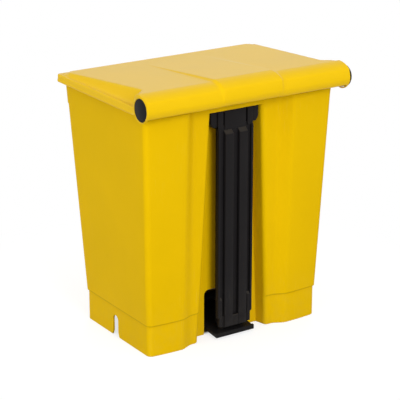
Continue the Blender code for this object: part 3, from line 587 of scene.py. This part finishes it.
half_columns = [12, 24, 36, 46, 52, 55, 57, 58, 59.2, 60.4, 61.6, 63, 66, 72, 86, 102, 120, 138, 154, 166]
half_columns += [173, 177, 180, 182, 184, 186, 188, 190, 192, 194, 196, 197.5, 199, 200.5, 202]
edge_steps = (0, 0.08, 0.35, 0.8, 1.4, 2.2, 3)
columns = [x * MM for x in half_columns] + [LID_HALF - BEAD - d * MM for d in reversed(edge_steps)]
columns = [-x for x in reversed(columns)] + [0.0] + columns
stations = [LID_FRONT + BEAD + d * MM for d in edge_steps + (4.5, 6, 7.5, 9, 10.5, 12, 14, 17, 22)]
stations += [LID_FRONT + d * MM for d in list(range(32, 236, 12)) + list(range(239, 262, 3))]
roll_turns = [math.radians(a) for a in range(0, 91, 9)]
stations += [HINGE_Y - CROWN_SETBACK - (BARREL - CROWN_SETBACK) * math.cos(a) for a in roll_turns]
RIGHT_END = 4.2 * MM


def plan_corner(x, y):
    """Rounds the lid's front corners in plan."""
    half, front = LID_HALF - BEAD, LID_FRONT + BEAD
    u = (abs(x) - (half - PLAN_CORNER)) / PLAN_CORNER
    v = (front + PLAN_CORNER - y) / PLAN_CORNER
    if u <= 0 or v <= 0:
        return x, y
    across = u * math.sqrt(1 - v * v / 2)
    down = v * math.sqrt(1 - u * u / 2)
    half += (across - 1) * PLAN_CORNER
    return math.copysign(half, x), front + (1 - down) * PLAN_CORNER


def roll_x(x):
    """Stretches a column to the roll's end, which stops short of the right plug's head."""
    end = LID_HALF if x > 0 else LID_HALF - RIGHT_END
    return x * end / (LID_HALF - BEAD)


bm = bmesh.new()
grid = []
for y in stations:
    row = []
    for x in columns:
        px, py = plan_corner(x, y) if y < 0 else (x, y)
        px += (roll_x(x) - x) * ease((y - HINGE_Y + BARREL + 2 * MM) / (6 * MM))
        row.append(bm.verts.new((px, py, lid_top(x, y))))
    grid.append(row)
for i in range(len(roll_profile)):
    grid.append([bm.verts.new(roll_point(roll_x(x), i)) for x in columns])
for low, high in zip(grid, grid[1:]):
    for i in range(len(columns) - 1):
        bm.faces.new((low[i], low[i + 1], high[i + 1], high[i]))
skirt_rows = [j for j, y in enumerate(stations) if y < HINGE_Y - BARREL + 2.5 * MM]
border = [grid[j][0] for j in reversed(skirt_rows)] + grid[0][1:-1] + [grid[j][-1] for j in skirt_rows]
flat = [v.co.copy() for v in border]
previous = border
bead_profile = ((0.0, 5.2), (0.35, 4.5), (0.78, 3.6), (0.8, 1.4), (0.5, 0.5), (-0.2, 0.0))
for out_by, up_by in bead_profile:
    ring = []
    for i, p in enumerate(flat):
        ahead, behind = flat[min(i + 1, len(flat) - 1)], flat[max(i - 1, 0)]
        along = Vector((ahead.x - behind.x, ahead.y - behind.y)).normalized()
        ring.append(bm.verts.new((p.x + along.y * out_by * MM, p.y - along.x * out_by * MM,
                                  FLANGE_LOW + up_by * MM)))
    for i in range(len(ring) - 1):
        bm.faces.new((previous[i], ring[i], ring[i + 1], previous[i + 1]))
    previous = ring
lid_mesh = bpy.data.meshes.new("lid")
bm.to_mesh(lid_mesh)
bm.free()
lid_mesh.shade_smooth()
lid_mesh.set_sharp_from_angle(angle=math.radians(LID_SHARP_FROM))

yellow_lid = moulded_material(
    "yellow_polyethylene_lid", 0.12, Colour=(0.87, 0.545, 0.0015, 1.0), Rubbed_colour=(0.93, 0.68, 0.14, 1.0),
    Roughness=0.30, Clouding=0.02, Grain_size=1700.0, Grain_depth=0.06, Waviness=0.05, Scuffs=0.0, Dust=0.0)
lid = show("lid", lid_mesh, yellow_lid)
skin = lid.modifiers.new("skin", "SOLIDIFY")
skin.thickness = LID_SKIN
skin.offset = -1.0
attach(lid, "lid")
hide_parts("lid_shell")

RING_WALL = 2.7 * MM
CRANK_PAD = 8 * MM
PAD_HALF, PAD_FRONT, PAD_BACK = 33 * MM, 43 * MM, 2 * MM
roll_front = [(-CROWN_SETBACK - (BARREL - CROWN_SETBACK) * math.cos(a), CROWN * math.sin(a))
              for a in roll_turns]
around = roll_front + roll_back + arc(0.0, 0.0, BARREL, -6, -174, 40)


def end_plate(bm, x0, x1, hole, soft):
    """Closes one end of the roll round the plug's hole; x1 is the outer face."""
    turn = math.copysign(soft, x1 - x0)
    rows = []
    for x, inset in ((x0, 0.1 * MM), (x1 - turn, 0.1 * MM), (x1 - turn * 0.3, soft * 0.4), (x1, soft)):
        shrink = 1 - inset / BARREL
        rows.append([(x, HINGE_Y + y * shrink, HINGE_Z + z * shrink) for y, z in around])
    for x, radius in ((x1, hole + soft * 0.6), (x1 - turn * 0.6, hole), (x0, hole)):
        rows.append([(x, HINGE_Y + y * radius / math.hypot(y, z), HINGE_Z + z * radius / math.hypot(y, z))
                     for y, z in around])
    loft_rows(bm, rows, True)


bm = bmesh.new()
for side in (1, -1):
    end = LID_HALF if side > 0 else LID_HALF - RIGHT_END
    end_plate(bm, side * (end - LID_SKIN), side * (end + 0.3 * MM), BARREL - RING_WALL + 0.3 * MM, 0.8 * MM)
block(bm, -PAD_HALF, PAD_HALF, HINGE_Y - PAD_FRONT, HINGE_Y - PAD_BACK, HINGE_Z + CRANK_PAD,
      HINGE_Z + CROWN - LID_SKIN - 1.5 * MM, 0.6 * MM)
lid_rings = show("lid_end_plates_and_pad", finish_mesh(bm, "lid_end_plates_and_pad"), yellow_lid)
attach(lid_rings, "lid")

# Hinge plugs: black polypropylene pins pressed into the barrel's end plates, turning in the body's arms.
# Their flat heads close the barrel: the left one sits flush in its plate, the right one stands proud.
# Its upward faces are lightened a little: painted light on the tops of the ribs and head, together with
# settled dust.
black_plastic = moulded_material(
    "black_polypropylene", 0.045, Colour=(0.0155, 0.0142, 0.0147, 1.0),
    Rubbed_colour=(0.06, 0.058, 0.058, 1.0), Roughness=0.40, Clouding=0.12, Grain_size=1300.0,
    Grain_depth=0.14, Waviness=0.05, Scuffs=0.25, Dust=0.05, Settled=0.12)
bm = bmesh.new()
tube(bm, pin_low.x, LID_HALF - 2 * MM, HINGE_Y, HINGE_Z, 5 * MM, 0.0, 0.5 * MM, 32)
tube(bm, LID_HALF - 4.5 * MM, LID_HALF, HINGE_Y, HINGE_Z, BARREL - RING_WALL + 0.1 * MM, 0.0, 0.6 * MM, 64)
left_plug = show("hinge_plug_left", finish_mesh(bm, "hinge_plug_left"), black_plastic)
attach(left_plug, "lid")
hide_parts("hinge_pin_left")


def dress(name, material, soft):
    """Gives a CAD node its finish and slightly rounded edges."""
    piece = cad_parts[name]
    piece.data.materials.clear()
    piece.data.materials.append(material)
    soften = piece.modifiers.new("soft_edges", "BEVEL")
    soften.width = soft
    soften.segments = 2
    soften.limit_method = "ANGLE"


dress("hinge_pin_right", black_plastic, 0.6 * MM)

# Push column: black polypropylene channel moulding that stands on the lever and lifts the lid's crank pin.
# Two wide ribs and edge flanges stiffen its back, under a T-shaped head that guides it in the channel.
column_low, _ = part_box("lift_column")
HEAD_HALF, HEAD_WEB_HALF, HEAD_PANEL_HALF = 48.5 * MM, 38 * MM, 21.5 * MM
EAR_INNER, EAR_CHAMFER, EAR_CHAMFER_RISE = 36 * MM, 5 * MM, 7 * MM
STRIP_INNER = 25 * MM
STEM_HALF, FLANGE_WIDTH = 35.7 * MM, 4 * MM
RIB_INNER, RIB_OUTER = 6.2 * MM, 23 * MM
GUSSET_OUTER, GUSSET_INNER, GUSSET_HEIGHT = 3 * MM, 9.5 * MM, 50 * MM
FOOT_BRIDGE_HALF, FOOT_PLATE_HALF, FOOT_BRIDGE_HEIGHT = 8 * MM, 31 * MM, 18 * MM
STEM_FRONT, STEM_FACE = 122 * MM, 146 * MM
CORE_HALF = 24 * MM
GROOVE_FACE = 144.5 * MM
FLANGE_FACE = 149.6 * MM
RIB_FACE = 152 * MM
FOOT_RADIUS = 10 * MM
FOOT_Z = column_low.z + FOOT_RADIUS
HEAD_TOP = CHANNEL_HEIGHT - 2 * MM
HEAD_LOW = HEAD_TOP - 27 * MM
CRANK_RADIUS = 18 * MM
SLOT_HALF = 3.7 * MM
HOOK_WALL = 2.8 * MM
NECK_HALF = 12 * MM
crank_low, crank_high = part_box("crank_pin")
CRANK_Y = (crank_low.y + crank_high.y) / 2
CRANK_Z = (crank_low.z + crank_high.z) / 2
bm = bmesh.new()
block(bm, -CORE_HALF, CORE_HALF, STEM_FRONT, GROOVE_FACE - 1 * MM, FOOT_Z, HEAD_LOW + 1 * MM, 0.6 * MM)
block(bm, -STEM_HALF + 1 * MM, STEM_HALF - 1 * MM, GROOVE_FACE - 3 * MM, GROOVE_FACE, FOOT_Z + 15 * MM,
      HEAD_LOW + 1 * MM, 0.4 * MM)
for side in (1, -1):
    low, high = sorted((side * (STEM_HALF - FLANGE_WIDTH), side * STEM_HALF))
    flange_low, flange_top, flange_root = FOOT_Z + 17 * MM, HEAD_LOW + 2 * MM, GROOVE_FACE - 2.5 * MM
    flange = [(flange_root, flange_low), (FLANGE_FACE - 2 * MM, flange_low),
              (FLANGE_FACE, flange_low + 3 * MM), (FLANGE_FACE, flange_top - 7 * MM),
              (FLANGE_FACE - 3 * MM, flange_top), (flange_root, flange_top)]
    prism(bm, flange, "X", low, high, 0.6 * MM)
    low, high = sorted((side * (STEM_HALF - GUSSET_INNER), side * (STEM_HALF - GUSSET_OUTER)))
    gusset_face, root = FLANGE_FACE - 0.6 * MM, GROOVE_FACE - 1 * MM
    gusset = [(root, FOOT_Z), (gusset_face, FOOT_Z), (gusset_face, FOOT_Z + GUSSET_HEIGHT),
              (root, FOOT_Z + GUSSET_HEIGHT + 5 * MM)]
    prism(bm, gusset, "X", low, high, 0.6 * MM)
    low, high = sorted((side * RIB_INNER, side * RIB_OUTER))
    rib = [(root, FOOT_Z - 2 * MM), (RIB_FACE - 2 * MM, FOOT_Z - 2 * MM), (RIB_FACE, FOOT_Z + 1 * MM),
           (RIB_FACE, HEAD_LOW - 13 * MM), (root, HEAD_LOW - 5.5 * MM)]
    prism(bm, rib, "X", low, high, 0.9 * MM)
    ear = [(EAR_INNER, HEAD_LOW), (HEAD_HALF - EAR_CHAMFER, HEAD_LOW),
           (HEAD_HALF, HEAD_LOW + EAR_CHAMFER_RISE), (HEAD_HALF, HEAD_TOP), (EAR_INNER, HEAD_TOP)]
    ear = [(side * x, z) for x, z in ear]
    prism(bm, ear, "Y", STEM_FRONT + 6 * MM, STEM_FACE - 1.5 * MM, 0.7 * MM)
    low, high = sorted((side * STRIP_INNER, side * STEM_HALF))
    block(bm, low, high, STEM_FRONT + 6 * MM, STEM_FACE + 1.3 * MM, HEAD_LOW - 4 * MM, HEAD_TOP, 0.7 * MM)
block(bm, -HEAD_WEB_HALF, HEAD_WEB_HALF, STEM_FRONT + 3 * MM, STEM_FACE - 4 * MM, HEAD_LOW,
      HEAD_TOP, 0.5 * MM)
block(bm, -HEAD_PANEL_HALF, HEAD_PANEL_HALF, STEM_FRONT + 3 * MM, STEM_FACE + 0.6 * MM, HEAD_LOW - 6 * MM,
      HEAD_TOP, 0.7 * MM)
bridge_low, bridge_top = FOOT_Z - 1 * MM, FOOT_Z + FOOT_BRIDGE_HEIGHT
block(bm, -FOOT_BRIDGE_HALF, FOOT_BRIDGE_HALF, GROOVE_FACE - 1 * MM, RIB_FACE - 0.8 * MM, bridge_low,
      bridge_top, 0.7 * MM)
block(bm, -FOOT_PLATE_HALF, FOOT_PLATE_HALF, GROOVE_FACE - 4 * MM, FLANGE_FACE - 1.5 * MM, bridge_low,
      bridge_top, 0.7 * MM)
foot_mid = (STEM_FRONT + STEM_FACE) / 2
tube(bm, -CORE_HALF + 1 * MM, CORE_HALF - 1 * MM, foot_mid, FOOT_Z, FOOT_RADIUS, 0.0, 0.6 * MM, 40)
hook_low, hook_top = CRANK_Z - SLOT_HALF - HOOK_WALL, CRANK_Z + SLOT_HALF + HOOK_WALL
slot_front = HINGE_Y - CRANK_RADIUS - SLOT_HALF
slot_back = CRANK_Y + SLOT_HALF
neck_front, neck_back = STEM_FRONT + 4 * MM, STEM_FACE - 1 * MM
hook_back = slot_back + HOOK_WALL
block(bm, -NECK_HALF, NECK_HALF, neck_front, min(neck_back, slot_front), HEAD_TOP - 4 * MM,
      hook_top, 0.8 * MM)
block(bm, -NECK_HALF, NECK_HALF, neck_front, hook_back, hook_low, CRANK_Z - SLOT_HALF, 0.5 * MM)
block(bm, -NECK_HALF, NECK_HALF, neck_front, hook_back, CRANK_Z + SLOT_HALF, hook_top, 0.5 * MM)
block(bm, -NECK_HALF, NECK_HALF, slot_back, hook_back, hook_low, hook_top, 0.5 * MM)
column = show("push_column", finish_mesh(bm, "push_column"), black_plastic)
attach(column, "column")
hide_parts("lift_column")

# Pedal lever: glass-filled black nylon plate on a cross tube, running under the floor from pedal to column.
# It swings on the steel axle held by the webs under the body's floor.
black_nylon = moulded_material(
    "black_nylon", 0.08, Colour=(0.009, 0.0085, 0.009, 1.0), Rubbed_colour=(0.07, 0.068, 0.066, 1.0),
    Roughness=0.5, Clouding=0.15, Grain_size=900.0, Grain_depth=0.25, Waviness=0.04, Scuffs=0.4, Dust=0.02)
dress("pedal_lever", black_nylon, 0.8 * MM)

# Tread: moulded rubber pad with cross ribs for grip, worn and dusty from shoes.
# It lies on the pedal and is held by two sunk screws.
# Its upward faces are lightened a little: settled dust together with painted light on the tops.
rubber = moulded_material(
    "black_rubber", 0.2, Colour=(0.012, 0.012, 0.0125, 1.0), Rubbed_colour=(0.09, 0.087, 0.083, 1.0),
    Roughness=0.72, Clouding=0.2, Grain_size=700.0, Grain_depth=0.4, Waviness=0.02, Scuffs=0.5, Dust=0.2,
    Settled=0.05)
dress("pedal_tread", rubber, 0.5 * MM)

# Metal fittings: zinc-plated steel axle, crank bracket, crank pin and screws, with spring-steel clips.
# Plating is slightly mottled, with fine turned or drawn lines along X.
# Screws hold the bracket and the tread, and the clips snap on the ends of the axle and the crank pin.
plated = bpy.data.node_groups.new("Plated metal", "ShaderNodeTree")
for label, kind in (("Colour", "NodeSocketColor"), ("Tarnish", "NodeSocketColor"),
                    ("Roughness", "NodeSocketFloat")):
    plated.interface.new_socket(label, in_out="INPUT", socket_type=kind)
for label, kind in SURFACE_OUTPUTS:
    plated.interface.new_socket(label, in_out="OUTPUT", socket_type=kind)
given = plated.nodes.new("NodeGroupInput")
out = plated.nodes.new("NodeGroupOutput")
place = add_node(plated, "TexCoord")
mottle = add_node(plated, "TexNoise", Scale=180.0, Detail=5.0, Roughness=0.65)
mottle_edge = add_node(plated, "MapRange", From_Min=0.42, From_Max=0.72)
mottle_mix = add_node(plated, "Mix", data_type="RGBA")
drawn = add_node(plated, "Mapping", Scale=(60.0, 2600.0, 2600.0))
lines = add_node(plated, "TexNoise", Scale=1.0, Detail=2.0)
line_bump = add_node(plated, "Bump", Strength=0.12, Distance=0.0002)
rough = add_node(plated, "Math", operation="MULTIPLY_ADD", use_clamp=True)
rough.inputs[1].default_value = 0.18
link(plated, (place.outputs["Object"], mottle.inputs["Vector"]),
     (place.outputs["Object"], drawn.inputs["Vector"]),
     (mottle.outputs["Fac"], mottle_edge.inputs["Value"]),
     (mottle_edge.outputs["Result"], mottle_mix.inputs["Factor"]),
     (given.outputs["Colour"], mottle_mix.inputs["A"]), (given.outputs["Tarnish"], mottle_mix.inputs["B"]),
     (mottle_mix.outputs["Result"], out.inputs["Colour"]), (mottle_edge.outputs["Result"], rough.inputs[0]),
     (given.outputs["Roughness"], rough.inputs[2]), (rough.outputs[0], out.inputs["Roughness"]),
     (drawn.outputs[0], lines.inputs["Vector"]), (lines.outputs["Fac"], line_bump.inputs["Height"]),
     (line_bump.outputs["Normal"], out.inputs["Normal"]))


def metal(name, colour, tarnish, roughness):
    material = bpy.data.materials.new(name)
    material.use_nodes = True
    tree = material.node_tree
    shader = tree.nodes["Principled BSDF"]
    shader.inputs["Metallic"].default_value = 1.0
    coat = tree.nodes.new("ShaderNodeGroup")
    coat.node_tree = plated
    coat.inputs["Colour"].default_value = (*colour, 1.0)
    coat.inputs["Tarnish"].default_value = (*tarnish, 1.0)
    coat.inputs["Roughness"].default_value = roughness
    link(tree, (coat.outputs["Colour"], shader.inputs["Base Color"]),
         (coat.outputs["Roughness"], shader.inputs["Roughness"]),
         (coat.outputs["Normal"], shader.inputs["Normal"]))
    return material


zinc = metal("zinc_plated_steel", (0.62, 0.62, 0.60), (0.48, 0.47, 0.44), 0.28)
spring_steel = metal("spring_steel", (0.27, 0.27, 0.28), (0.20, 0.19, 0.19), 0.32)
fittings = {zinc: ["lever_axle", "lid_crank", "crank_pin", "tread_screw_left", "tread_screw_right"],
            spring_steel: ["axle_clip_left", "axle_clip_right", "crank_clip_left", "crank_clip_right"]}
fittings[zinc] += [f"crank_screw_{i}" for i in range(1, 5)]
for material, names in fittings.items():
    for name in names:
        dress(name, material, 0.25 * MM)

# Stage: a plain pale paper sweep under three soft studio panels, the main one above and beside the camera.
# Floor and surroundings look white to the camera and in reflections, and the floor keeps the shadow.
# Under the bin itself the floor stays in shade, so that the dark hollow of the base reads as one.
FLOOR_REACH, FLOOR_GREY, FLOOR_GLOW = 8.0, 0.36, 0.74
WHITE_FROM, WHITE_BY = 0.24, 0.55
UNDER_MIDDLE, UNDER_HALF = (0.0, 0.026, 0.0), (0.115, 0.09, 1.0)
WORLD_LIGHT = 0.6
floor_mesh = bpy.data.meshes.new("floor")
floor_corners = [(FLOOR_REACH * x, FLOOR_REACH * y, 0) for x, y in ((-1, -1), (1, -1), (1, 1), (-1, 1))]
floor_mesh.from_pydata(floor_corners, [], [(0, 1, 2, 3)])
paper = bpy.data.materials.new("pale_floor")
paper.use_nodes = True
tree = paper.node_tree
surface = tree.nodes["Principled BSDF"]
surface.inputs["Base Color"].default_value = (FLOOR_GREY, FLOOR_GREY, FLOOR_GREY, 1.0)
surface.inputs["Roughness"].default_value = 0.9
surface.inputs["Specular IOR Level"].default_value = 0.0
glow = add_node(tree, "Emission", Color=(1.0, 1.0, 1.0, 1.0))
rays = add_node(tree, "LightPath")
seen = add_node(tree, "Math", operation="MAXIMUM")
where = add_node(tree, "TexCoord")
spread = add_node(tree, "VectorMath", operation="LENGTH")
far = add_node(tree, "MapRange", From_Min=WHITE_FROM, From_Max=WHITE_BY, interpolation_type="SMOOTHSTEP")
away = add_node(tree, "Math", operation="MULTIPLY")
white = add_node(tree, "Emission", Color=(1.0, 1.0, 1.0, 1.0))
level = add_node(tree, "Math", operation="MULTIPLY")
level.inputs[1].default_value = FLOOR_GLOW
offset = add_node(tree, "VectorMath", operation="SUBTRACT")
offset.inputs[1].default_value = UNDER_MIDDLE
mirrored = add_node(tree, "VectorMath", operation="ABSOLUTE")
footprint = add_node(tree, "VectorMath", operation="DIVIDE")
footprint.inputs[1].default_value = UNDER_HALF
parts = add_node(tree, "SeparateXYZ")
beyond = add_node(tree, "Math", operation="MAXIMUM")
clear = add_node(tree, "MapRange", From_Min=0.9, From_Max=1.0)
bare = add_node(tree, "Math", operation="MULTIPLY")
both = add_node(tree, "AddShader")
sweep = add_node(tree, "MixShader")
link(tree, (rays.outputs["Is Camera Ray"], seen.inputs[0]), (rays.outputs["Is Glossy Ray"], seen.inputs[1]),
     (seen.outputs[0], level.inputs[0]), (level.outputs[0], bare.inputs[0]),
     (where.outputs["Object"], offset.inputs[0]), (offset.outputs[0], mirrored.inputs[0]),
     (mirrored.outputs[0], footprint.inputs[0]), (footprint.outputs[0], parts.inputs[0]),
     (parts.outputs["X"], beyond.inputs[0]), (parts.outputs["Y"], beyond.inputs[1]),
     (beyond.outputs[0], clear.inputs["Value"]), (clear.outputs["Result"], bare.inputs[1]),
     (bare.outputs[0], glow.inputs["Strength"]),
     (surface.outputs[0], both.inputs[0]), (glow.outputs[0], both.inputs[1]),
     (where.outputs["Object"], spread.inputs[0]), (spread.outputs["Value"], far.inputs["Value"]),
     (far.outputs["Result"], away.inputs[0]), (seen.outputs[0], away.inputs[1]),
     (away.outputs[0], sweep.inputs[0]),
     (both.outputs[0], sweep.inputs[1]), (white.outputs[0], sweep.inputs[2]),
     (sweep.outputs[0], tree.nodes["Material Output"].inputs["Surface"]))
floor = show("floor", floor_mesh, paper)
floor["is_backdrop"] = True

world = bpy.data.worlds.new("studio")
bpy.context.scene.world = world
world.use_nodes = True
tree = world.node_tree
sky = tree.nodes["Background"]
sky.inputs["Color"].default_value = (1.0, 1.0, 1.0, 1.0)
rays = add_node(tree, "LightPath")
seen = add_node(tree, "Math", operation="MAXIMUM")
seen_all = add_node(tree, "Math", operation="MAXIMUM")
strength = add_node(tree, "MapRange", To_Min=WORLD_LIGHT, To_Max=1.0)
link(tree, (rays.outputs["Is Camera Ray"], seen.inputs[0]), (rays.outputs["Is Glossy Ray"], seen.inputs[1]),
     (seen.outputs[0], seen_all.inputs[0]), (rays.outputs["Is Transmission Ray"], seen_all.inputs[1]),
     (seen_all.outputs[0], strength.inputs["Value"]), (strength.outputs["Result"], sky.inputs["Strength"]))


def panel_light(name, place, aim, size, watts):
    data = bpy.data.lights.new(name, "AREA")
    data.shape = "DISK"
    data.size = size
    data.energy = watts
    lamp = bpy.data.objects.new(name, data)
    lamp.location = place
    lamp.rotation_mode = "QUATERNION"
    lamp.rotation_quaternion = (Vector(aim) - Vector(place)).to_track_quat("-Z", "Y")
    bpy.context.scene.collection.objects.link(lamp)
    lamp.visible_glossy = False


MIDDLE = (0.0, 0.0, 0.22)
panel_light("main_panel", (0.3, 2.4, 1.35), MIDDLE, size=1.2, watts=32)
panel_light("side_panel", (2.4, 0.4, 1.0), MIDDLE, size=1.6, watts=19)
panel_light("fill_panel", (-1.5, -1.9, 0.75), MIDDLE, size=1.6, watts=18)

camera_data = bpy.data.cameras.new("camera")
camera_data.sensor_width = 36
camera_data.lens = 146.6
camera = bpy.data.objects.new("camera", camera_data)
bpy.context.scene.collection.objects.link(camera)
camera.location = (1.5057, 2.3297, 1.1647)
camera.rotation_mode = "QUATERNION"
camera.rotation_quaternion = Vector((-0.51914, -0.79041, -0.32518)).to_track_quat("-Z", "Y")
bpy.context.scene.camera = camera
bpy.context.scene.view_settings.view_transform = "Standard"

low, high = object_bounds()
